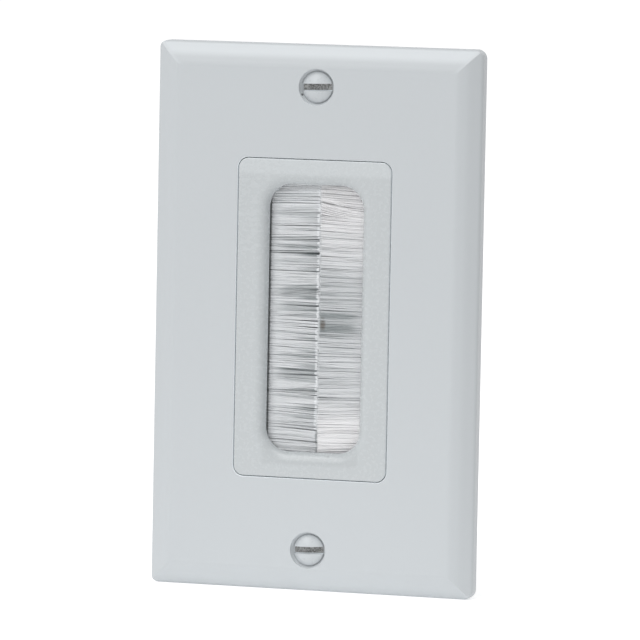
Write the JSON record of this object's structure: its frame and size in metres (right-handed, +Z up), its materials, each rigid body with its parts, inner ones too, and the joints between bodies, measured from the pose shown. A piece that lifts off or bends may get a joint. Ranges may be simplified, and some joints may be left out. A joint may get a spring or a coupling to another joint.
{
  "type": "brush wall plate insert",
  "caption": "Bevelled decorator wall plate with a brush insert: cables pass between two strips of bristles in a rounded opening, and slotted screws hold the plate to the insert's strap.",
  "frame": {"origin": "middle of the plate on the wall plane, which is the back of the plate's rim and of the insert's strap, half way between the two box screw holes", "axes": "+X to the right seen from the front, +Y back into the wall (the front faces -Y), +Z up"},
  "size_m": [0.0704, 0.0136, 0.1144],
  "materials": {
    "plate_plastic": "satin light grey white, very finely mottled",
    "insert_plastic": "semi gloss light grey white moulding with small moulding marks",
    "retainer_plastic": "satin light grey white moulding",
    "channel_metal": "rolled strip, plain",
    "wire_steel": "drawn wire",
    "bristle_nylon": "translucent white nylon filament",
    "screw_paint": "painted to match the plate, slot floor bare",
    "small_screw_steel": "zinc plated"
  },
  "bodies": {
    "root": {"wall_plate": "plate_plastic", "insert_frame": "insert_plastic", "rear_retainer": "retainer_plastic", "brush_channel_left": "channel_metal", "brush_channel_right": "channel_metal", "brush_core_wire_left": "wire_steel", "brush_core_wire_right": "wire_steel", "brush_bristles_left": "bristle_nylon", "brush_bristles_right": "bristle_nylon", "plate_screw_top": "screw_paint", "plate_screw_bottom": "screw_paint", "retainer_screw_1": "small_screw_steel", "retainer_screw_2": "small_screw_steel", "retainer_screw_3": "small_screw_steel", "retainer_screw_4": "small_screw_steel"}
  },
  "joints": []
}
